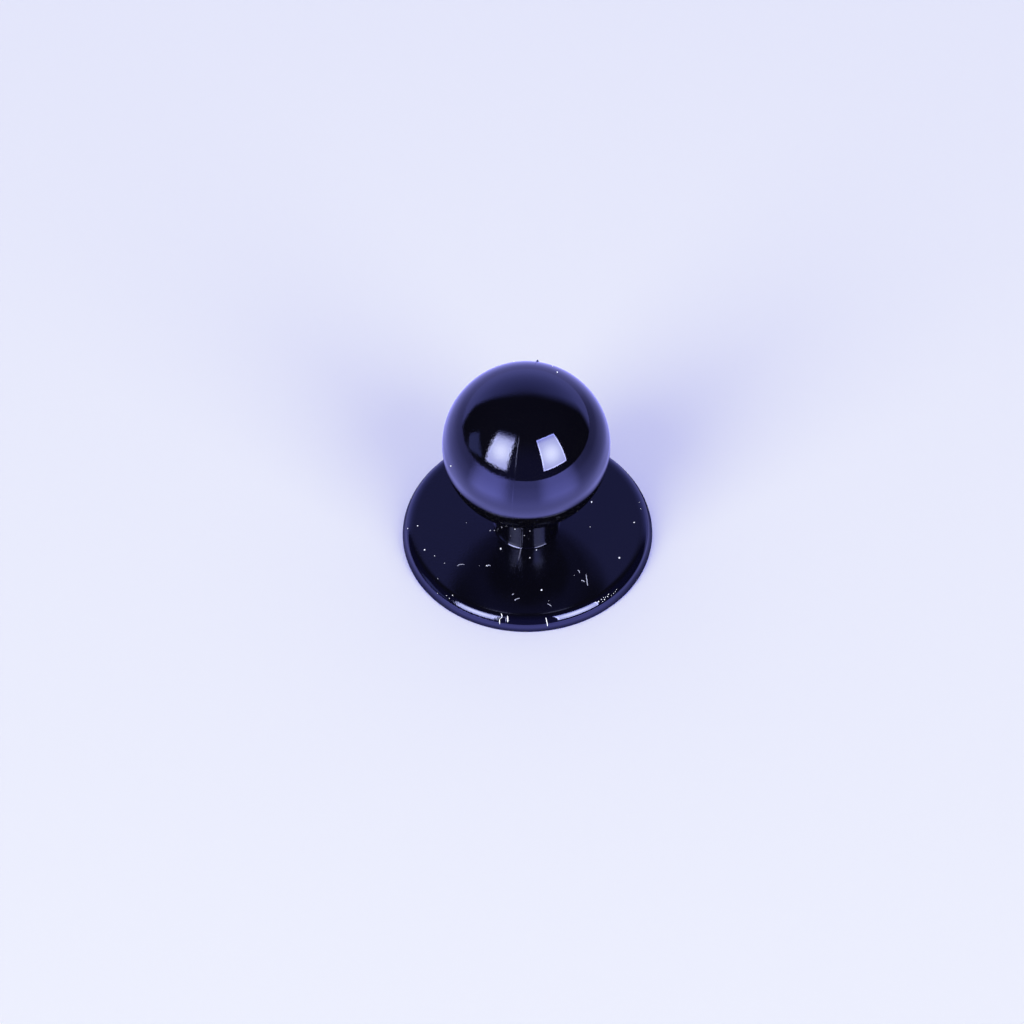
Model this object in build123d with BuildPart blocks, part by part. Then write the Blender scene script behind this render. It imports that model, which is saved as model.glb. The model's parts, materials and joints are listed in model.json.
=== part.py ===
"""Ball stud button: a round ball on a short neck over a thin disc foot, moulded as one piece.

The axis is +Z. The origin is the centre of the foot's underside, which the stud rests on.
The mould parted in the YZ plane, so the parting ridge runs over the stud in that plane.
All sizes are in millimetres.
"""

import os

from build123d import *

# Ball
ball_diameter = 10.0

# Neck, with the space that the cloth takes between the foot and the ball
neck_diameter = 3.8
neck_clear_height = 2.5
neck_root_fillet = 0.2

# Foot
foot_diameter = 15.0
foot_thickness = 1.0
foot_top_rounding = 0.6
foot_bottom_rounding = 0.1

# Parting ridge, left standing on the surface where the halves of the mould met
ridge_height = 0.03
ridge_width = 0.09

# Sizes that follow from those above
ball_radius = ball_diameter / 2
ball_centre_height = foot_thickness + neck_clear_height + ball_radius


def stud_section(skin):
    """The stud's whole section, with X across and Y up, standing proud of the surface by skin.

    The underside stays on the ground, so it is flat for any skin.
    """
    with BuildSketch() as section:
        with Locations((0, ball_centre_height)):
            Circle(ball_radius + skin)
        Rectangle(
            neck_diameter + 2 * skin,
            ball_centre_height,
            align=(Align.CENTER, Align.MIN),
        )
        Rectangle(
            foot_diameter + 2 * skin,
            foot_thickness + skin,
            align=(Align.CENTER, Align.MIN),
        )
        columns = section.vertices().group_by(Axis.X)
        rim_corners = columns[0] + columns[-1]
        fillet(rim_corners.group_by(Axis.Y)[-1], foot_top_rounding + skin)
        fillet(rim_corners.group_by(Axis.Y)[0], foot_bottom_rounding)
        root_corners = section.vertices().sort_by_distance((0, foot_thickness + skin))[:2]
        fillet(root_corners, neck_root_fillet - skin)
    return section.sketch


with BuildPart() as ball_stud:
    # The turned form: one half of the section, swept once round the axis
    with BuildSketch(Plane.YZ):
        add(stud_section(0))
        split(bisect_by=Plane.YZ)
    revolve(axis=Axis.Z)

    # The parting ridge: a thin slice of the same section, standing proud by its height
    with BuildSketch(Plane.YZ.offset(-ridge_width / 2)):
        add(stud_section(ridge_height))
    extrude(amount=ridge_width)

ball_stud.part.label = "ball_stud"

os.makedirs("parts", exist_ok=True)
export_step(ball_stud.part, "parts/ball_stud.step")

print("overall height", ball_centre_height + ball_radius)
print("volume", ball_stud.part.volume)
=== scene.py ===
"""The looks of a ball stud button: a glossy black moulding with its parting ridge, dust and lint.

Shapes are modelled in millimetres, and each piece is brought to the frame's metres as it is finished.
The stud's axis is Z, its mould parted in the YZ plane, and its front is on the side of -Y. The stud is
seen from ten degrees to the right of its front.
"""

import json
import math

import bmesh
import bpy
from mathutils import Matrix, Vector, noise


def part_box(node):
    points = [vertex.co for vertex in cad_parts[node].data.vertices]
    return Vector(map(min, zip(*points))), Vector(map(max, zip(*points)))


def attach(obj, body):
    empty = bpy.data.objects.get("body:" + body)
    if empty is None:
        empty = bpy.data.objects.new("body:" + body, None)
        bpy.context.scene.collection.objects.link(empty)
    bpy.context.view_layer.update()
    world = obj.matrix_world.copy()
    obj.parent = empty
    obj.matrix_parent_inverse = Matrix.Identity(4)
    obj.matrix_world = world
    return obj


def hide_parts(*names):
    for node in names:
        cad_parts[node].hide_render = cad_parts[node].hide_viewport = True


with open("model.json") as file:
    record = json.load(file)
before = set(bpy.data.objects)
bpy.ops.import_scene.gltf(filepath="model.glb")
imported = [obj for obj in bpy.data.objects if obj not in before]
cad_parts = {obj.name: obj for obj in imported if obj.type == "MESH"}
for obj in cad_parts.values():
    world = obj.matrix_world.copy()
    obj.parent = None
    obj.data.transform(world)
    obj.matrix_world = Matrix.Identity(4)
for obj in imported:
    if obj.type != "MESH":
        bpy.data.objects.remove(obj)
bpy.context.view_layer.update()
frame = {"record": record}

MM = 0.001
QUARTER_TURN = math.pi / 2
FULL_TURN = 2 * math.pi
UP = Vector((0, 0, 1))
# Faces that meet at less than this are shaded as one smooth surface
SMOOTH_ANGLE = math.radians(40)

# The stud's sizes in millimetres, from the frame
NODE = "ball_stud"
RIDGE_HEIGHT = 0.03
high_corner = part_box(NODE)[1]
neck_mount = next(mount for mount in frame["record"]["mounts"] if mount["name"] == "neck")
FOOT_RADIUS = high_corner[0] / MM
STUD_HEIGHT = high_corner[2] / MM - RIDGE_HEIGHT
NECK_RADIUS = neck_mount["dims"]["r_mm"]
NECK_LENGTH = neck_mount["dims"]["length_mm"]
FOOT_TOP = neck_mount["pos_m"][2] / MM - NECK_LENGTH / 2
BALL_RADIUS = (STUD_HEIGHT - FOOT_TOP - NECK_LENGTH) / 2
BALL_CENTRE = STUD_HEIGHT - BALL_RADIUS

# Roundings, in millimetres. The neck's root is sharper on the right than on the left.
EDGE_ROUNDING = 0.1
ROOT_FILLET = 0.17
ROOT_FILLET_RIGHT = 0.05

# How finely the turned form is cut, the narrow bands that keep its flats flat beside a rounding, and
# how near each other two places count as one
TURN_STEPS = 360
BALL_STEPS = 192
RIM_STEPS = 20
ROOT_STEPS = 8
EDGE_STEPS = 4
TOP_RINGS = 24
BAND = 0.04
NEAR = 1e-4

# The rim's rounding is an oval one: it leaves the flat top gently, and is steep towards the floor
RIM_WIDTH = 0.85
RIM_DEPTH = FOOT_TOP - EDGE_ROUNDING - BAND
RIM_POWERS = (3.0, 1.55)

# The foot's top rises towards the neck by this much, over this distance
TOP_RISE = 0.04
TOP_RISE_REACH = 2.4
TOP_RISE_POWER = 1.5
ROOT_HEIGHT = FOOT_TOP + TOP_RISE

# The parting ridge. Its middle is given at the foot's top, and its lean by the millimetre up from
# there. The faces beyond this radius are cut along it, at these shares of its width.
RIDGE_WIDTH = 0.1
RIDGE_MIDDLE = -0.07
RIDGE_LEAN = 0.0127
RIDGE_CUTS = (-0.5, -0.33, -0.17, 0.0, 0.17, 0.33, 0.5)
RIDGE_CUT_FROM = 1.4
# It ends at this height above the floor, and its wear comes and goes by this share
RIDGE_LOW_END = 0.12
RIDGE_WAVES_PER_MM = 1.3
RIDGE_WAVE_SHARE = 0.5
# What is left of its height: on the ball above and below these heights, on the neck, on the foot
# beside the neck out to this radius, and further out
RIDGE_HIGH = 12.2
RIDGE_LEFT_HIGH = 0.03
RIDGE_LOW = 8.7
RIDGE_LEFT_LOW = 0.25
RIDGE_LEFT_ON_NECK = 0.12
RIDGE_LEFT_BY_NECK = 0.6
RIDGE_NECK_REACH = 3.1
RIDGE_LEFT_FURTHER = 0.15

# The nib of flash on the ridge, behind the ball's top: its degrees above level, how far it reaches
# each way, its width and height, and the cuts that make its faces finer
NIB_RISE = 39.0
NIB_PLACE = BALL_CENTRE * UP + BALL_RADIUS * Vector(
    (0, math.cos(math.radians(NIB_RISE)), math.sin(math.radians(NIB_RISE)))
)
NIB_REACH = 0.27
NIB_WIDTH = 0.24
NIB_HEIGHT = 0.135
NIB_CUTS = 3

# The camera, fitted to the outlines of the ball and the foot in the photograph. It aims at a point on
# the stud's axis, which falls on its own pixel. Distances are in metres, and the rise is in degrees.
PICTURE_WIDTH = 1024
CAMERA_TURN = math.radians(10.0)
CAMERA_RISE = 50.95
CAMERA_ROLL = math.radians(0.77)
CAMERA_DISTANCE = 0.6
AIM_HEIGHT = 0.006
AIM_PIXEL = (526.63, 471.57)
PIXELS_PER_METRE = 16782.0
SENSOR_WIDTH = 36
CLIP_START = 0.01
CLIP_END = 20

# Directions level with the floor, as the camera sees them
TO_CAMERA = Vector((math.sin(CAMERA_TURN), -math.cos(CAMERA_TURN), 0))
TO_RIGHT = Vector((math.cos(CAMERA_TURN), math.sin(CAMERA_TURN), 0))


def direction(turn, rise):
    """A unit vector, turned right from the camera and raised from the floor, in degrees."""
    turn = math.radians(turn)
    rise = math.radians(rise)
    level = math.sin(turn) * TO_RIGHT + math.cos(turn) * TO_CAMERA
    return math.cos(rise) * level + math.sin(rise) * UP


# Modelling by hand

def begin_piece(name):
    """Names the primitive just added and opens it for editing."""
    piece = bpy.context.object
    piece.name = name
    piece.data.name = name
    bpy.ops.object.transform_apply(location=True, rotation=True, scale=True)
    bpy.ops.object.mode_set(mode="EDIT")
    bpy.ops.mesh.select_mode(type="VERT")
    return piece


def choose(where):
    """Selects the points of the open piece whose place passes the test, and what lies between them."""
    bpy.ops.mesh.select_mode(type="VERT")
    mesh = bmesh.from_edit_mesh(bpy.context.object.data)
    for point in mesh.verts:
        point.select_set(where(point.co))
    mesh.select_flush_mode()
    bmesh.update_edit_mesh(bpy.context.object.data)


def choose_edges(where):
    """Selects the edges of the open piece whose two ends pass the test."""
    bpy.ops.mesh.select_mode(type="EDGE")
    bpy.ops.mesh.select_all(action="DESELECT")
    mesh = bmesh.from_edit_mesh(bpy.context.object.data)
    for edge in mesh.edges:
        edge.select_set(all(where(point.co) for point in edge.verts))
    mesh.select_flush_mode()
    bmesh.update_edit_mesh(bpy.context.object.data)


def reach(place):
    """Extrudes the chosen end of an open outline to a place."""
    mesh = bmesh.from_edit_mesh(bpy.context.object.data)
    end = next(point.co for point in mesh.verts if point.select)
    bpy.ops.mesh.extrude_region_move(TRANSFORM_OT_translate={"value": Vector(place) - end})


def pick(pieces):
    """Leaves only these pieces selected, with the first of them active."""
    bpy.ops.object.select_all(action="DESELECT")
    for piece in pieces:
        piece.select_set(True)
    bpy.context.view_layer.objects.active = pieces[0]


def finish_piece(piece):
    """Brings a piece that was modelled in millimetres to metres, and smooths its shading."""
    pick([piece])
    piece.scale = (MM, MM, MM)
    bpy.ops.object.transform_apply(location=True, rotation=True, scale=True)
    bpy.ops.object.shade_smooth_by_angle(angle=SMOOTH_ANGLE)


# The stud's turned form

def radius_of(place):
    """How far a place lies from the stud's axis."""
    return math.hypot(place.x, place.y)


def rim_place(share):
    """The radius and height on the rim's rounding, from 0 at the foot's flat top to 1 at its wall."""
    across = math.sin(share * QUARTER_TURN)
    down = 1 - (1 - across ** RIM_POWERS[0]) ** (1 / RIM_POWERS[1])
    return FOOT_RADIUS - RIM_WIDTH * (1 - across), FOOT_TOP - RIM_DEPTH * down


def top_height(radius):
    """The height of the foot's top at a radius."""
    share = 1 - (radius - NECK_RADIUS) / TOP_RISE_REACH
    return FOOT_TOP + TOP_RISE * max(share, 0) ** TOP_RISE_POWER


def draw_outline():
    """Half of the stud's outline in the XZ plane, from the ball's top to the middle of the underside."""
    bpy.ops.mesh.primitive_circle_add(
        vertices=BALL_STEPS,
        radius=BALL_RADIUS,
        location=(0, 0, BALL_CENTRE),
        rotation=(QUARTER_TURN, 0, 0),
    )
    piece = begin_piece("stud_body")
    choose(lambda place: place.x < -NEAR)
    bpy.ops.mesh.delete(type="VERT")
    bpy.ops.mesh.select_all(action="SELECT")
    bpy.ops.mesh.bisect(plane_co=(NECK_RADIUS, 0, 0), plane_no=(1, 0, 0), threshold=NEAR)
    choose(lambda place: place.x < NECK_RADIUS - NEAR and place.z < BALL_CENTRE)
    bpy.ops.mesh.delete(type="VERT")
    choose(lambda place: abs(place.x - NECK_RADIUS) < NEAR and place.z < BALL_CENTRE)
    reach((NECK_RADIUS, 0, ROOT_HEIGHT + ROOT_FILLET + BAND))
    reach((NECK_RADIUS, 0, ROOT_HEIGHT))
    top_start = NECK_RADIUS + ROOT_FILLET + BAND
    top_end = FOOT_RADIUS - RIM_WIDTH
    for ring in range(TOP_RINGS + 1):
        radius = top_start + (top_end - top_start) * ring / TOP_RINGS
        reach((radius, 0, top_height(radius)))
    for step in range(1, RIM_STEPS + 1):
        radius, height = rim_place(step / RIM_STEPS)
        reach((radius, 0, height))
    reach((FOOT_RADIUS, 0, 0))
    reach((FOOT_RADIUS - EDGE_ROUNDING - BAND, 0, 0))
    reach((0, 0, 0))
    return piece


def round_ring(radius, height, rounding, steps, side=0):
    """Rounds the turned corner at this radius and height: all round, or only left (-1) or right (1)."""
    choose_edges(
        lambda place: abs(radius_of(place) - radius) < NEAR
        and abs(place.z - height) < NEAR
        and place.x * side > -NEAR
    )
    bpy.ops.mesh.bevel(offset=rounding, segments=steps, affect="EDGES", profile=0.5)


def turn_form():
    """The outline, swept once round the axis, with its roundings. The piece stays open for editing."""
    piece = draw_outline()
    bpy.ops.mesh.select_all(action="SELECT")
    bpy.ops.mesh.spin(steps=TURN_STEPS, angle=FULL_TURN, center=(0, 0, 0), axis=(0, 0, 1))
    bpy.ops.mesh.select_all(action="SELECT")
    bpy.ops.mesh.remove_doubles(threshold=NEAR)
    bpy.ops.mesh.normals_make_consistent(inside=False)
    round_ring(NECK_RADIUS, ROOT_HEIGHT, ROOT_FILLET, ROOT_STEPS, side=-1)
    round_ring(NECK_RADIUS, ROOT_HEIGHT, ROOT_FILLET_RIGHT, ROOT_STEPS, side=1)
    round_ring(FOOT_RADIUS, 0, EDGE_ROUNDING, EDGE_STEPS)
    return piece


# What stands out on the stud's surface

def hump(distance, width):
    """A rounded hump of this width: 1 in its middle and 0 at its edges."""
    if abs(distance) >= width / 2:
        return 0
    return math.cos(distance / width * math.pi) ** 2


def off_ridge(place):
    """How far a place lies to the right of the parting ridge's middle."""
    return place.x - RIDGE_MIDDLE - RIDGE_LEAN * (place.z - FOOT_TOP)


def ridge_at(place):
    """How far the unevenly worn parting ridge stands out at a place."""
    if place.z < RIDGE_LOW_END:
        return 0
    if place.z > FOOT_TOP + NECK_LENGTH:
        down = (RIDGE_HIGH - place.z) / (RIDGE_HIGH - RIDGE_LOW)
        down = min(max(down, 0), 1)
        left = RIDGE_LEFT_HIGH + (RIDGE_LEFT_LOW - RIDGE_LEFT_HIGH) * down ** 2
    elif place.z > ROOT_HEIGHT + ROOT_FILLET:
        left = RIDGE_LEFT_ON_NECK
    elif radius_of(place) < RIDGE_NECK_REACH:
        left = RIDGE_LEFT_BY_NECK
    else:
        left = RIDGE_LEFT_FURTHER
    left *= 1 + RIDGE_WAVE_SHARE * noise.noise(RIDGE_WAVES_PER_MM * place)
    return RIDGE_HEIGHT * left * hump(off_ridge(place), RIDGE_WIDTH)


def nib_at(place):
    """How far the nib of flash stands out at a place."""
    across = hump(off_ridge(place), NIB_WIDTH)
    return NIB_HEIGHT * across * hump((place - NIB_PLACE).length, 2 * NIB_REACH)


def raise_ridge(piece):
    """Cuts the faces along the ridge and the nib, and lifts their points along the surface's normals."""
    for share in RIDGE_CUTS:
        choose(lambda place: radius_of(place) > RIDGE_CUT_FROM)
        cut = RIDGE_MIDDLE + share * RIDGE_WIDTH
        bpy.ops.mesh.bisect(plane_co=(cut, 0, FOOT_TOP), plane_no=(1, 0, -RIDGE_LEAN), threshold=NEAR)
    choose(lambda place: (place - NIB_PLACE).length < 2 * NIB_REACH)
    bpy.ops.mesh.subdivide(number_cuts=NIB_CUTS, smoothness=0)
    bpy.ops.object.mode_set(mode="OBJECT")

    raised = piece.vertex_groups.new(name="raised")
    for point in piece.data.vertices:
        height = max(ridge_at(point.co), nib_at(point.co))
        if height > 0:
            raised.add([point.index], height / NIB_HEIGHT, "REPLACE")
    lift = piece.modifiers.new("raised", "DISPLACE")
    lift.vertex_group = raised.name
    lift.mid_level = 0
    lift.strength = NIB_HEIGHT
    pick([piece])
    bpy.ops.object.modifier_apply(modifier=lift.name)
    piece.vertex_groups.remove(piece.vertex_groups[raised.name])


body = turn_form()
raise_ridge(body)
finish_piece(body)
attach(body, "root")
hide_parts(NODE)


# Dust and lint, by the places that they have in the photograph, in millimetres

# Grains on the foot's top: x, y and width
FOOT_GRAINS = (
    (-6.48, -1.17, 0.085), (-5.75, -2.92, 0.108), (-5.08, -3.28, 0.07), (-4.6, -4.96, 0.045),
    (-4.4, -3.74, 0.05), (-1.26, -2.15, 0.132), (0.87, -1.91, 0.076), (0.58, -2.55, 0.083),
    (1.66, -4.85, 0.12), (5.86, -1.71, 0.132), (6.31, 1.11, 0.104), (3.54, 2.27, 0.115),
    (3.76, 0.37, 0.057), (-2.11, -0.86, 0.052), (-1.87, -0.83, 0.055), (-3.63, -0.47, 0.035),
    (6.38, 2.71, 0.042), (6.53, 2.22, 0.053), (3.41, -3.44, 0.034), (-2.33, -3.6, 0.028),
    (2.21, -5.6, 0.035), (-1.88, -3.54, 0.09),
)
# Grains on the rim's rounding: degrees from the front towards +X, share of the rounding and width
RIM_GRAINS = (
    (-79.1, 0.42, 0.08), (-37.6, 0.6, 0.05), (-32.8, 0.43, 0.05), (-30.2, 0.27, 0.08),
    (-30.7, 0.46, 0.06), (43.9, 0.42, 0.075), (45.5, 0.45, 0.1), (47.3, 0.44, 0.08),
    (48.7, 0.51, 0.085), (47.4, 0.54, 0.05), (49.6, 0.46, 0.06), (50.8, 0.48, 0.07),
    (51.8, 0.43, 0.065), (52.9, 0.54, 0.045), (54.3, 0.53, 0.06), (55.8, 0.51, 0.05),
    (56.8, 0.48, 0.05), (48.7, 0.41, 0.045),
)
# Grains on the neck: degrees from the front towards +X, height and width
NECK_GRAINS = (
    (-43.3, 2.15, 0.07), (-12.9, 2.73, 0.075), (-13.2, 3.16, 0.045), (14.3, 2.71, 0.055),
    (4.4, 2.28, 0.055),
)
# Grains on the ball: degrees from the front towards +X, degrees above level and width
BALL_GRAINS = ((-54.7, 8.3, 0.11), (149.3, 54.8, 0.11), (162.7, 45.1, 0.07), (-160.0, 40.0, 0.09))
# Fibres on the foot's top: their width, then the x and y of the points that they follow
FOOT_FIBRES = (
    (0.04, (-3.63, -3.84), (-3.46, -3.69), (-3.18, -3.66)),
    (0.055, (-1.86, -3.53), (-1.76, -3.5), (-1.63, -3.53)),
    (0.05, (-0.03, -5.51), (0.03, -5.45), (0.09, -5.4)),
    (0.05, (0.18, -5.89), (0.32, -5.77), (0.5, -5.68)),
    (0.045, (2.18, -5.83), (2.31, -5.89), (2.45, -5.98)),
    (0.06, (3.55, -3.04), (3.64, -3.09), (3.72, -3.24)),
    (0.07, (3.9, -3.77), (4.01, -3.81), (4.1, -3.85)),
    (0.06, (4.09, -3.29), (4.15, -3.41), (4.16, -3.56), (4.22, -3.7), (4.26, -3.9), (4.33, -4.11)),
)
# Fibres that cling to the rim: their width, then degrees from the front towards +X and share of the
# rounding
RIM_FIBRES = (
    (0.06, (-3.6, 0.25), (-2.7, 0.35), (-2.8, 0.45), (-3.8, 0.49), (-3.6, 0.58), (-3.4, 0.71)),
    (0.075, (-0.3, 0.31), (0.2, 0.45), (0.2, 0.58)),
    (0.055, (18.3, 0.39), (18.3, 0.5), (18.6, 0.61), (18.6, 0.76)),
)
# A grain is made at this share of its width, because its painted glow makes it look wider. Its
# shape, how far it sinks in and its unevenness are in shares of what is left. Each is turned by this
# many radians more than the one before.
GRAIN_SHARE = 0.87
GRAIN_SHAPE = (1, 0.8, 0.7)
GRAIN_SINK = 0.15
GRAIN_UNEVENNESS = 0.3
GRAIN_SEED = 4
GRAIN_TURN = 1.0
# The step along the rim's rounding that gives its slope
SHORT_WAY = 0.01
# A fibre arches off the surface by this share of its width. Its tips have this share of it, and swell
# over this share of the first and the last stretch.
FIBRE_SIDES = 6
FIBRE_ARCH = 0.6
FIBRE_TIP = 0.5
FIBRE_SWELL = 0.25


def shape_grain():
    """One grain of dust, about one across: a lump with uneven sides."""
    bpy.ops.object.select_all(action="DESELECT")
    bpy.ops.mesh.primitive_ico_sphere_add(subdivisions=2, radius=0.5)
    piece = begin_piece("dust")
    bpy.ops.mesh.select_all(action="SELECT")
    bpy.ops.transform.vertex_random(offset=GRAIN_UNEVENNESS / 2, uniform=0, normal=1, seed=GRAIN_SEED)
    bpy.ops.transform.resize(value=GRAIN_SHAPE)
    bpy.ops.object.mode_set(mode="OBJECT")
    return piece


def level_way(turn):
    """The level way out of the stud's axis, turned from the front towards +X by this many degrees."""
    return Vector((math.sin(math.radians(turn)), -math.cos(math.radians(turn)), 0))


def on_foot(x, y):
    """A place on the foot's top, and the way out of the surface there."""
    return Vector((x, y, top_height(math.hypot(x, y)))), UP


def on_neck(turn, height):
    """A place on the neck, and the way out of the surface there."""
    return NECK_RADIUS * level_way(turn) + height * UP, level_way(turn)


def on_ball(turn, rise):
    """A place on the ball, and the way out of the surface there."""
    outward = math.cos(math.radians(rise)) * level_way(turn) + math.sin(math.radians(rise)) * UP
    return BALL_CENTRE * UP + BALL_RADIUS * outward, outward


def on_rim(turn, share):
    """A place on the rim's rounding, and the way out of the surface there."""
    radius, height = rim_place(share)
    radius_before, height_before = rim_place(share - SHORT_WAY)
    outward = (height_before - height) * level_way(turn) + (radius - radius_before) * UP
    return radius * level_way(turn) + height * UP, outward.normalized()


GRAINS_BY_SEAT = (
    (on_foot, FOOT_GRAINS), (on_rim, RIM_GRAINS), (on_neck, NECK_GRAINS), (on_ball, BALL_GRAINS),
)


def lay_grains(grain):
    """A copy of the grain at each place, seated on the surface there, all joined into one piece."""
    seats = []
    for seat, grains in GRAINS_BY_SEAT:
        seats += [(*seat(first, second), GRAIN_SHARE * width) for first, second, width in grains]
    copies = []
    for count, (place, outward, width) in enumerate(seats):
        copy = grain.copy()
        copy.data = grain.data.copy()
        bpy.context.scene.collection.objects.link(copy)
        stand = outward.to_track_quat("Z", "Y").to_matrix().to_4x4()
        spin = Matrix.Rotation(count * GRAIN_TURN, 4, "Z")
        lift = Matrix.Translation(place + outward * width * (GRAIN_SHAPE[2] / 2 - GRAIN_SINK))
        copy.matrix_world = lift @ stand @ spin @ Matrix.Scale(width, 4)
        copies.append(copy)
    bpy.data.objects.remove(grain)
    pick(copies)
    bpy.ops.object.join()
    bpy.ops.object.transform_apply(location=True, rotation=True, scale=True)
    return copies[0]


def lay_fibre(width, seats):
    """A short fibre of lint, extruded from seat to seat. Its tips are thin, and its middle arches."""
    route = [place + outward * width / 2 for place, outward in seats]
    for count in range(1, len(seats) - 1):
        route[count] += seats[count][1] * FIBRE_ARCH * width
    along = route[1] - route[0]
    bpy.ops.object.select_all(action="DESELECT")
    bpy.ops.mesh.primitive_circle_add(
        vertices=FIBRE_SIDES,
        radius=FIBRE_TIP * width / 2,
        fill_type="NGON",
        location=route[0],
        rotation=along.to_track_quat("Z", "Y").to_euler(),
    )
    piece = begin_piece("lint")
    bpy.ops.mesh.select_all(action="SELECT")
    swollen = route[0].lerp(route[1], FIBRE_SWELL)
    thinning = route[-2].lerp(route[-1], 1 - FIBRE_SWELL)
    stations = [swollen, *route[1:-1], thinning, route[-1]]
    swells = [1 / FIBRE_TIP] + [1] * (len(stations) - 2) + [FIBRE_TIP]
    last = route[0]
    for place, swell in zip(stations, swells):
        bpy.ops.mesh.extrude_region_move(TRANSFORM_OT_translate={"value": place - last})
        bpy.ops.transform.resize(value=(swell, swell, swell))
        last = place
    bpy.ops.mesh.select_all(action="SELECT")
    bpy.ops.mesh.normals_make_consistent(inside=False)
    bpy.ops.object.mode_set(mode="OBJECT")
    smooth = piece.modifiers.new("rounded", "SUBSURF")
    smooth.levels = 1
    smooth.render_levels = 1
    bpy.ops.object.modifier_apply(modifier=smooth.name)
    return piece


dust = lay_grains(shape_grain())
pick([dust] + [lay_fibre(width, [on_rim(*point) for point in points]) for width, *points in RIM_FIBRES])
bpy.ops.object.join()
dust.name = "dust"
dust.data.name = "dust"
finish_piece(dust)
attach(dust, "root")

pick([lay_fibre(width, [on_foot(*point) for point in points]) for width, *points in FOOT_FIBRES])
bpy.ops.object.join()
lint = bpy.context.object
finish_piece(lint)
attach(lint, "root")


# Materials

# The plastic is black with a little blue in it, and changes slightly in tone from place to place
PLASTIC_DARK = (0.0024, 0.0023, 0.0062, 1)
PLASTIC_LIGHT = (0.0034, 0.0033, 0.0078, 1)
TONE_PER_MM = 0.6
TONE_DETAIL = 3.0
PLASTIC_IOR = 1.6
PLASTIC_TINT = (0.7, 0.72, 1, 1)
# It is glossy, less so left of the parting ridge, and the foot's flat top is satin from the first of
# these heights to the second
GLOSS_ROUGHNESS = 0.035
LEFT_ROUGHNESS = 0.06
SATIN_ROUGHNESS = 0.14
SATIN_FROM = 0.94
SATIN_TO = 0.985
# The orange peel's depth in millimetres left of the parting ridge, and its share right of it
PEEL_DEPTH = 0.0042
PEEL_RIGHT = 0.1
PEEL_PER_MM = 8.0
PEEL_DETAIL = 2.0
PEEL_FINENESS = 0.7
# The rim is dulled by handling, from the first of these radii out
RIM_HAZE = (0.003, 0.003, 0.015, 1)
HAZY_FROM = 6.9
HAZY_TO = 7.15
# The parting ridge is rough below the first pair of heights, and less so below the second
RIDGE_ROUGHNESS = 0.26
RIDGE_DULL_FROM = (12.85, 12.5)
RIDGE_DULL_TO = (10.9, 11.6)
RIDGE_DULL_LOW = 0.5
# In front of the neck's root it is whitened, out to these radii
WHITENED = (0.13, 0.13, 0.19, 1)
WHITENED_FROM = 2.95
WHITENED_TO = 2.6
# Faint scratches: how close they lie along each axis once turned, where in the noise one starts and is
# full, and how far it takes the gloss towards satin
SCRATCHES_PER_MM = (1.5, 14.0, 14.0)
SCRATCH_TURN = (0.3, 0.2, 0.9)
SCRATCH_DETAIL = 4.0
SCRATCH_FROM = 0.62
SCRATCH_TO = 0.75
SCRATCH_SHARE = 0.25
# The dust and the lint: their pale colour, the duller one of their spots, the spots by the millimetre
# and the strength of their painted glow, which is given off in the same colours
DUST_LOOK_WITH_PAINTED_GLOW = ((0.86, 0.88, 1, 1), (0.7, 0.72, 0.9, 1), 12, 0.6)
LINT_LOOK_WITH_PAINTED_GLOW = ((0.62, 0.64, 0.85, 1), (0.26, 0.27, 0.42, 1), 6, 0.16)
FLUFF_ROUGHNESS = 0.5
FLUFF_DETAIL = 2.0


def add_node(owner, kind, inputs=None, **settings):
    """A node of a material or the world. Its inputs are numbers, colours or other nodes' outputs."""
    node = owner.node_tree.nodes.new("ShaderNode" + kind)
    for setting, value in settings.items():
        setattr(node, setting, value)
    for socket, value in (inputs or {}).items():
        if isinstance(value, bpy.types.NodeSocket):
            owner.node_tree.links.new(value, node.inputs[socket])
        else:
            node.inputs[socket].default_value = value
    return node


def calculate(owner, operation, *values):
    """The number that a sum on numbers gives."""
    return add_node(owner, "Math", dict(enumerate(values)), operation=operation).outputs["Value"]


def measure(owner, operation, *vectors):
    """The number that a sum on vectors gives, such as a length."""
    return add_node(owner, "VectorMath", dict(enumerate(vectors)), operation=operation).outputs["Value"]


def combine(owner, operation, *vectors):
    """The vector or colour that a sum on vectors or colours gives."""
    return add_node(owner, "VectorMath", dict(enumerate(vectors)), operation=operation).outputs["Vector"]


def scaled(owner, vector, share):
    """The vector or colour, times a number."""
    inputs = {0: vector, "Scale": share}
    return add_node(owner, "VectorMath", inputs, operation="SCALE").outputs["Vector"]


def share_between(owner, value, low, high):
    """A smooth share that goes from 0 to 1 as the value goes from low to high, also downwards."""
    inputs = {"Value": value, "From Min": low, "From Max": high}
    falling = not isinstance(high, bpy.types.NodeSocket) and low > high
    if falling:
        inputs = {"Value": value, "From Min": high, "From Max": low, "To Min": 1.0, "To Max": 0.0}
    return add_node(owner, "MapRange", inputs, interpolation_type="SMOOTHSTEP").outputs["Result"]


def blend(owner, share, first, second, kind="FLOAT"):
    """A number, or a colour of kind RGBA, that goes from the first to the second by the share."""
    inputs = {"Factor": share, "A": first, "B": second}
    return add_node(owner, "Mix", inputs, data_type=kind).outputs["Result"]


def ramp_of(owner, value, stops):
    """A colour ramp with these stops, read at the value."""
    ramp = add_node(owner, "ValToRGB", {"Fac": value})
    elements = ramp.color_ramp.elements
    elements.remove(elements[-1])
    for count, (position, colour) in enumerate(stops):
        stop = elements[0] if count == 0 else elements.new(position)
        stop.position = position
        stop.color = [*colour, 1]
    return ramp.outputs["Color"]


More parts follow.
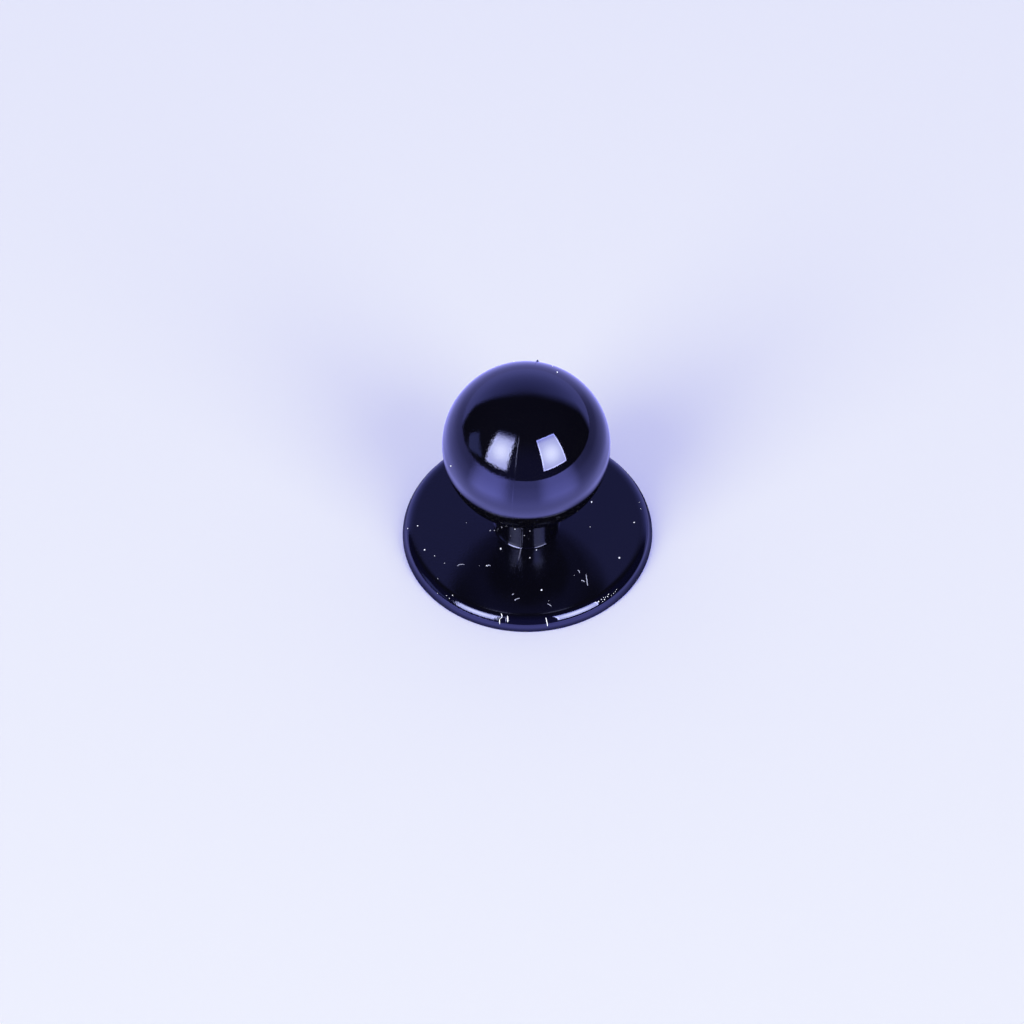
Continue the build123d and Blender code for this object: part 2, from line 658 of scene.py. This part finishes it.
def black_plastic():
    """Gloss with orange peel, most of it left of the parting ridge, and a satin top on the foot."""
    material = bpy.data.materials.new("glossy black plastic")
    material.use_nodes = True
    shader = material.node_tree.nodes["Principled BSDF"]
    shader.inputs["IOR"].default_value = PLASTIC_IOR
    shader.inputs["Specular Tint"].default_value = PLASTIC_TINT

    place = add_node(material, "TexCoord").outputs["Object"]
    to_mm = {"Vector": place, "Scale": (1 / MM, 1 / MM, 1 / MM)}
    in_mm = add_node(material, "Mapping", to_mm).outputs["Vector"]
    axes = add_node(material, "SeparateXYZ", {"Vector": in_mm})
    side, depth, height = (axes.outputs[axis] for axis in "XYZ")
    radius = measure(material, "LENGTH", combine(material, "MULTIPLY", in_mm, (1, 1, 0)))

    # The foot's flat top, from the rim's rounding to the neck's root
    above_rounding = share_between(material, height, SATIN_FROM, SATIN_TO)
    root_top = ROOT_HEIGHT + ROOT_FILLET
    below_ball = share_between(material, height, FOOT_TOP + NECK_LENGTH, root_top)
    root_end = NECK_RADIUS + ROOT_FILLET
    off_neck = share_between(material, radius, NECK_RADIUS + ROOT_FILLET_RIGHT, root_end)
    on_top = calculate(material, "MULTIPLY", below_ball, off_neck)
    satin = calculate(material, "MULTIPLY", above_rounding, on_top)
    # The side whose mould was less smooth, and the leaning line of the parting ridge
    left = share_between(material, side, RIDGE_WIDTH / 2, -RIDGE_WIDTH / 2)
    lean = RIDGE_LEAN * FOOT_TOP - RIDGE_MIDDLE
    lean = calculate(material, "MULTIPLY_ADD", height, -RIDGE_LEAN, lean)
    off_line = calculate(material, "ABSOLUTE", calculate(material, "ADD", side, lean))
    on_ridge = share_between(material, off_line, RIDGE_WIDTH / 2, RIDGE_WIDTH / 4)

    tone = {"Vector": in_mm, "Scale": TONE_PER_MM, "Detail": TONE_DETAIL}
    tone = add_node(material, "TexNoise", tone).outputs["Fac"]
    colour = blend(material, tone, PLASTIC_DARK, PLASTIC_LIGHT, "RGBA")
    hazy = share_between(material, radius, HAZY_FROM, HAZY_TO)
    colour = blend(material, hazy, colour, RIM_HAZE, "RGBA")
    whitened = share_between(material, radius, WHITENED_FROM, WHITENED_TO)
    in_front = share_between(material, depth, 0.0, -NECK_RADIUS)
    for where in (on_top, on_ridge, in_front):
        whitened = calculate(material, "MULTIPLY", whitened, where)
    colour = blend(material, whitened, colour, WHITENED, "RGBA")
    material.node_tree.links.new(colour, shader.inputs["Base Color"])

    turned = {"Vector": in_mm, "Rotation": SCRATCH_TURN, "Scale": SCRATCHES_PER_MM}
    turned = add_node(material, "Mapping", turned).outputs["Vector"]
    streaks = {"Vector": turned, "Scale": 1.0, "Detail": SCRATCH_DETAIL}
    streaks = add_node(material, "TexNoise", streaks).outputs["Fac"]
    scratched = share_between(material, streaks, SCRATCH_FROM, SCRATCH_TO)
    scratched = calculate(material, "MULTIPLY", scratched, SCRATCH_SHARE)
    roughness = blend(material, left, GLOSS_ROUGHNESS, LEFT_ROUGHNESS)
    roughness = blend(material, scratched, roughness, SATIN_ROUGHNESS)
    dull = blend(material, share_between(material, height, *RIDGE_DULL_TO), RIDGE_DULL_LOW, 1.0)
    dull = calculate(material, "MULTIPLY", dull, share_between(material, height, *RIDGE_DULL_FROM))
    dull = calculate(material, "MULTIPLY", dull, on_ridge)
    roughness = blend(material, dull, roughness, RIDGE_ROUGHNESS)
    roughness = blend(material, satin, roughness, SATIN_ROUGHNESS)
    material.node_tree.links.new(roughness, shader.inputs["Roughness"])

    peel = {"Vector": in_mm, "Scale": PEEL_PER_MM, "Detail": PEEL_DETAIL, "Roughness": PEEL_FINENESS}
    peel = add_node(material, "TexNoise", peel).outputs["Fac"]
    peel_share = blend(material, left, PEEL_RIGHT, 1.0)
    bump = {"Height": peel, "Strength": peel_share, "Distance": PEEL_DEPTH * MM}
    bump = add_node(material, "Bump", bump).outputs["Normal"]
    material.node_tree.links.new(bump, shader.inputs["Normal"])
    return material


def fluff_with_painted_glow(name, pale, dull, per_mm, glow):
    """Dust or lint: pale, with duller spots. A faint painted glow stands for how bright it looks on
    black.
    """
    material = bpy.data.materials.new(name)
    material.use_nodes = True
    shader = material.node_tree.nodes["Principled BSDF"]
    shader.inputs["Roughness"].default_value = FLUFF_ROUGHNESS
    # The glow is painted light: the dust and lint give off light in their own colours, though they are
    # no lamp
    shader.inputs["Emission Strength"].default_value = glow
    place = add_node(material, "TexCoord").outputs["Object"]
    spots = {"Vector": place, "Scale": per_mm / MM, "Detail": FLUFF_DETAIL}
    spots = add_node(material, "TexNoise", spots).outputs["Fac"]
    colour = blend(material, spots, dull, pale, "RGBA")
    for socket in ("Base Color", "Emission Color"):
        material.node_tree.links.new(colour, shader.inputs[socket])
    return material


body.data.materials.append(black_plastic())
dust.data.materials.clear()
dust.data.materials.append(fluff_with_painted_glow("pale dust", *DUST_LOOK_WITH_PAINTED_GLOW))
lint.data.materials.clear()
lint.data.materials.append(fluff_with_painted_glow("grey lint", *LINT_LOOK_WITH_PAINTED_GLOW))


# The floor: a pale sheet in soft light. What the plastic reflects of it is shaded by distance and side.

BLACK = (0, 0, 0, 1)
WHITE = (1, 1, 1, 1)
FLOOR_SIZE = 8.0
# The sheet's colour in the light, and the blue that the camera sees besides, in the shadows too
FLOOR_SHADE = (0.82, 0.84, 0.33, 1)
FLOOR_BLUE_SEEN = 0.655
FLOOR_REFLECTED = (1.17, 1.19, 3.25)
# The reflected floor's brightness by distance from the stud's axis, in shares of its reach in metres
FLOOR_REACH = 0.06
FLOOR_FALL = (
    (0.13, (0.87, 0.87, 0.9)), (0.155, (0.87, 0.87, 0.87)), (0.2, (0.68, 0.68, 0.68)),
    (0.3, (0.55, 0.55, 0.57)), (0.4, (0.45, 0.45, 0.47)), (0.67, (0.38, 0.38, 0.4)),
    (1.0, (0.3, 0.3, 0.32)),
)
# In reflections it has a painted contact shadow where the foot meets it, between these distances
CONTACT_FROM = 0.0074
CONTACT_TO = 0.0086
CONTACT_LEFT = 0.15
# What is added to the fall or taken from it: its turn from the camera's side, how far it reaches to
# either side and how far it is full, in degrees, its brightness, and the distances at which it starts
# and is full. They are the pools below the softboxes, the front, the back, and the shade on the right,
# close behind and beside the foot.
FLOOR_EXTRAS = (
    (-45, 28, 0, 0.95, 0.012, 0.022),
    (38, 28, 0, 0.75, 0.012, 0.022),
    (0, 72, 26, 0.28, 0.007, 0.016),
    (180, 53, 12, 0.1, 0.014, 0.022),
    (108, 45, 10, -0.12, 0.013, 0.02),
    (-130, 45, 15, -0.25, 0.016, 0.011),
    (130, 45, 15, -0.25, 0.016, 0.011),
    (-95, 65, 25, -0.5, 0.0105, 0.008),
    (95, 65, 25, -0.6, 0.0105, 0.008),
)


def pale_paper():
    """A matt sheet in the light, which glossy things see with the shading of the tables above."""
    material = bpy.data.materials.new("pale paper")
    material.use_nodes = True
    shader = material.node_tree.nodes["Principled BSDF"]
    shader.inputs["Roughness"].default_value = 1.0
    shader.inputs["Specular IOR Level"].default_value = 0.0
    place = add_node(material, "TexCoord").outputs["Object"]
    distance = measure(material, "LENGTH", place)
    way = combine(material, "NORMALIZE", place)

    # Glossy rays see a painted glow: it falls off with distance, and the extras paint pools of light and
    # shade into it
    glow = ramp_of(material, calculate(material, "DIVIDE", distance, FLOOR_REACH), FLOOR_FALL)
    for turn, outer, inner, extra, near, far in FLOOR_EXTRAS:
        edge, full = (math.cos(math.radians(angle)) for angle in (outer, inner))
        facing = measure(material, "DOT_PRODUCT", way, direction(turn, 0))
        share = share_between(material, facing, edge, full)
        share = calculate(material, "MULTIPLY", share, share_between(material, distance, near, far))
        glow = combine(material, "ADD", glow, scaled(material, (extra, extra, extra), share))
    # The painted contact shadow, taken from the floor's painted glow in reflections
    contact = share_between(material, distance, CONTACT_FROM, CONTACT_TO)
    contact = blend(material, contact, CONTACT_LEFT, 1.0)
    reflected = scaled(material, combine(material, "MULTIPLY", glow, FLOOR_REFLECTED), contact)
    reflected = combine(material, "MAXIMUM", reflected, (0, 0, 0))

    path = add_node(material, "LightPath")
    in_gloss = path.outputs["Is Glossy Ray"]
    shade = blend(material, in_gloss, FLOOR_SHADE, BLACK, "RGBA")
    material.node_tree.links.new(shade, shader.inputs["Base Color"])
    glow_seen = blend(material, in_gloss, (0, 0, FLOOR_BLUE_SEEN, 1), reflected, "RGBA")
    material.node_tree.links.new(glow_seen, shader.inputs["Emission Color"])
    shown = calculate(material, "ADD", path.outputs["Is Camera Ray"], in_gloss)
    material.node_tree.links.new(shown, shader.inputs["Emission Strength"])
    return material


bpy.ops.object.select_all(action="DESELECT")
bpy.ops.mesh.primitive_plane_add(size=FLOOR_SIZE)
floor = bpy.context.object
floor.name = "floor"
floor.data.materials.append(pale_paper())


# Two softboxes and a faint third card, each by its corners' directions from the ball, in degrees

BALL_PLACE = Vector((0, 0, BALL_CENTRE * MM))
SOFTBOX_DISTANCE = 0.8
CARDS = {
    "right_softbox": ((24.1, 54.2), (64.5, 47.9), (55.7, 9.9), (22.7, 11.1)),
    "left_softbox": ((-69.0, 52.0), (-27.8, 60.3), (-27.0, 11.9), (-57.0, 11.2)),
    "side_card": ((-89.4, 25.5), (-96.4, 10.9), (-85.5, 2.1), (-63.2, 10.6)),
}
FAINT_GLOW = (0.36, 0.42, 1.1)
LIGHT_POWERS = {"right_softbox": 2.68, "left_softbox": 3.12}
# A softbox is brightest in its middle. Its glow falls off by distance, in shares of this reach.
SOFTBOX_MIDDLES = {"right_softbox": (40, 30), "left_softbox": (-43, 33)}
SOFTBOX_REACH = 0.55
SOFTBOX_PEAK = 23.0
SOFTBOX_FALL = (
    (0.0, (0.98, 1.0, 0.87)), (0.18, (0.75, 0.77, 0.81)), (0.36, (0.5, 0.52, 0.66)),
    (0.53, (0.39, 0.4, 0.57)), (0.67, (0.31, 0.32, 0.5)), (1.0, (0.19, 0.2, 0.38)),
)
# It has a bright border, and is a little bluer along its top
BORDER_WIDTH = 0.022
BORDER_GAIN = 0.8
TOP_TINT = (0.66, 0.69, 0.93, 1)
TOP_TINT_REACH = 0.11
# The left one has no border along its top, and is dim there
DIM_TOPPED = "left_softbox"
DIM_TOP_REACH = 0.16
DIM_TOP_LEFT = 0.08


def inward_from(owner, place, corners):
    """How far in from each edge of a card a place lies, the top edge first."""
    centre = sum(corners, Vector()) / len(corners)
    distances = []
    for corner, following in zip(corners, [*corners[1:], corners[0]]):
        along = (following - corner).normalized()
        inward = (centre - corner) - (centre - corner).dot(along) * along
        past = combine(owner, "SUBTRACT", place, corner)
        distances.append(measure(owner, "DOT_PRODUCT", past, inward.normalized()))
    return distances


def softbox_glow(material, name, corners):
    """The glow's colour across a softbox and its strength: its fall, its border and its top."""
    place = add_node(material, "TexCoord").outputs["Object"]
    middle = BALL_PLACE + SOFTBOX_DISTANCE * direction(*SOFTBOX_MIDDLES[name])
    off_middle = measure(material, "DISTANCE", place, middle)
    off_middle = calculate(material, "MULTIPLY", off_middle, 1 / SOFTBOX_REACH)
    glow = ramp_of(material, off_middle, SOFTBOX_FALL)

    off_edges = inward_from(material, place, corners)
    off_top = off_edges[0]
    if name == DIM_TOPPED:
        off_edges = off_edges[1:]
    nearest = off_edges[0]
    for off_edge in off_edges[1:]:
        nearest = calculate(material, "MINIMUM", nearest, off_edge)
    border = share_between(material, nearest, BORDER_WIDTH, BORDER_WIDTH / 2)
    gain = calculate(material, "MULTIPLY_ADD", border, BORDER_GAIN, 1.0)
    tint = share_between(material, off_top, 0.0, TOP_TINT_REACH)
    tint = blend(material, tint, TOP_TINT, WHITE, "RGBA")
    glow = combine(material, "MULTIPLY", glow, tint)
    if name == DIM_TOPPED:
        lit = share_between(material, off_top, 0.0, DIM_TOP_REACH)
        gain = calculate(material, "MULTIPLY", gain, blend(material, lit, DIM_TOP_LEFT, 1.0))
    return glow, calculate(material, "MULTIPLY", gain, SOFTBOX_PEAK)


def card_glow(name, corners):
    """The light that a card shows in reflections: a softbox's own spread, or an even faint one."""
    material = bpy.data.materials.new(name)
    material.use_nodes = True
    material.node_tree.nodes.clear()
    if name in SOFTBOX_MIDDLES:
        colour, strength = softbox_glow(material, name, corners)
    else:
        strength = max(FAINT_GLOW)
        colour = [part / strength for part in FAINT_GLOW] + [1]
    light = add_node(material, "Emission", {"Color": colour, "Strength": strength})
    add_node(material, "OutputMaterial", {"Surface": light.outputs["Emission"]})
    return material


def hang_card(name, corners):
    """A card that only reflections see."""
    mesh = bpy.data.meshes.new(name)
    mesh.from_pydata(corners, [], [(0, 1, 2, 3)])
    mesh.materials.append(card_glow(name, corners))
    card = bpy.data.objects.new(name, mesh)
    bpy.context.scene.collection.objects.link(card)
    card.visible_camera = False
    card.visible_diffuse = False
    card.visible_shadow = False
    card.visible_transmission = False


def hang_light(name, corners, power):
    """The softbox's own light, as large as its card, which reflections don't see."""
    middle = sum(corners, Vector()) / len(corners)
    lamp = bpy.data.lights.new(name, "AREA")
    lamp.shape = "RECTANGLE"
    lamp.size = (corners[0] - corners[1]).length
    lamp.size_y = (corners[0] - corners[3]).length
    lamp.energy = power
    light = bpy.data.objects.new(name, lamp)
    bpy.context.scene.collection.objects.link(light)
    light.location = middle
    light.rotation_euler = (BALL_PLACE - middle).to_track_quat("-Z", "Y").to_euler()
    light.visible_glossy = False


for name, corner_directions in CARDS.items():
    corners = [BALL_PLACE + SOFTBOX_DISTANCE * direction(*corner) for corner in corner_directions]
    hang_card(name, corners)
    if name in LIGHT_POWERS:
        hang_light(name + "_light", corners, LIGHT_POWERS[name])


# The room: pale to the camera, soft to the floor, and dark to reflections but for a backdrop behind

CAMERA_SKY = (0.80, 0.82, 0.96, 1)
# The soft light's strength, and how much stronger it is from behind and weaker from in front
FILL = 0.44
FILL_LEAN = 0.6
# The backdrop's colour by height, where 0 is level and 1 straight up
BACKDROP_TURN = 175
BACKDROP = (
    (0.0, (0.56, 0.58, 1.7)), (0.2, (0.57, 0.6, 1.8)), (0.44, (0.44, 0.47, 1.42)),
    (0.62, (0.345, 0.37, 1.15)), (0.73, (0.26, 0.28, 0.87)), (0.8, (0.15, 0.162, 0.5)),
    (0.9, (0.0, 0.0, 0.0)),
)
# Where the backdrop's edge lies by height: how far a direction there points towards its middle
BACKDROP_EDGE = ((0.0, 0.29), (0.09, 0.36), (0.17, 0.42), (0.26, 0.475), (0.6, 0.48), (0.85, 0.46))
# The edge is softer to the right and higher up
EDGE_SOFTNESS = 0.05
EDGE_SOFTNESS_BY_SIDE = 0.2
EDGE_SOFTNESS_BY_HEIGHT = 0.14
# A faint haze in the dark room, in front of the stud and low down
HAZE = (0.045, 0.045, 0.2, 1)
HAZE_FROM = 0.5
HAZE_TO = 0.95


def build_room():
    """The world: what the camera sees round the sheet, the soft light, and the reflected room."""
    world = bpy.data.worlds.new("room")
    bpy.context.scene.world = world
    world.use_nodes = True
    world.node_tree.nodes.clear()
    toward = add_node(world, "TexCoord").outputs["Generated"]
    height = add_node(world, "SeparateXYZ", {"Vector": toward}).outputs["Z"]
    height = calculate(world, "MAXIMUM", height, 0.0)
    in_front = measure(world, "DOT_PRODUCT", toward, TO_CAMERA)
    behind = measure(world, "DOT_PRODUCT", toward, direction(BACKDROP_TURN, 0))
    side = calculate(world, "MAXIMUM", measure(world, "DOT_PRODUCT", toward, TO_RIGHT), 0.0)

    edge = ramp_of(world, height, [(place, (limit, limit, limit)) for place, limit in BACKDROP_EDGE])
    edge = add_node(world, "SeparateColor", {"Color": edge}).outputs["Red"]
    soft = calculate(world, "MULTIPLY_ADD", side, EDGE_SOFTNESS_BY_SIDE, EDGE_SOFTNESS)
    soft = calculate(world, "MULTIPLY_ADD", height, EDGE_SOFTNESS_BY_HEIGHT, soft)
    lit = share_between(world, calculate(world, "SUBTRACT", behind, edge), 0.0, soft)
    haze = share_between(world, in_front, HAZE_FROM, HAZE_TO)
    haze = blend(world, haze, BLACK, HAZE, "RGBA")
    reflected = blend(world, lit, haze, ramp_of(world, height, BACKDROP), "RGBA")
    soft_fill = calculate(world, "MULTIPLY_ADD", in_front, -FILL * FILL_LEAN, FILL)

    path = add_node(world, "LightPath")
    sky = add_node(world, "Background", {"Color": CAMERA_SKY})
    fill = add_node(world, "Background", {"Color": WHITE, "Strength": soft_fill})
    room = add_node(world, "Background", {"Color": reflected})
    light = {0: path.outputs["Is Glossy Ray"], 1: fill.outputs[0], 2: room.outputs[0]}
    light = add_node(world, "MixShader", light)
    light = {0: path.outputs["Is Camera Ray"], 1: light.outputs[0], 2: sky.outputs[0]}
    light = add_node(world, "MixShader", light)
    add_node(world, "OutputWorld", {"Surface": light.outputs[0]})


build_room()


def place_camera():
    """The photograph's view: the aim point falls on its own pixel, and the camera leans by its roll."""
    aim = Vector((0, 0, AIM_HEIGHT))
    back = direction(0, CAMERA_RISE)
    lean = Matrix.Rotation(-CAMERA_ROLL, 3, back)
    across = lean @ TO_RIGHT
    over = lean @ back.cross(TO_RIGHT)
    centre = PICTURE_WIDTH / 2
    target = (
        aim
        - across * (AIM_PIXEL[0] - centre) / PIXELS_PER_METRE
        + over * (AIM_PIXEL[1] - centre) / PIXELS_PER_METRE
    )
    spot = aim + CAMERA_DISTANCE * back
    forward = (target - spot).normalized()
    side = forward.cross(over).normalized()
    head = side.cross(forward)
    lens = bpy.data.cameras.new("photo_view")
    lens.sensor_width = SENSOR_WIDTH
    lens.lens = PIXELS_PER_METRE * CAMERA_DISTANCE * SENSOR_WIDTH / PICTURE_WIDTH
    lens.clip_start = CLIP_START
    lens.clip_end = CLIP_END
    camera = bpy.data.objects.new("photo_view", lens)
    bpy.context.scene.collection.objects.link(camera)
    turned = Matrix((side, head, -forward)).transposed().to_4x4()
    camera.matrix_world = Matrix.Translation(spot) @ turned
    bpy.context.scene.camera = camera


place_camera()
bpy.context.scene.view_settings.view_transform = "Standard"
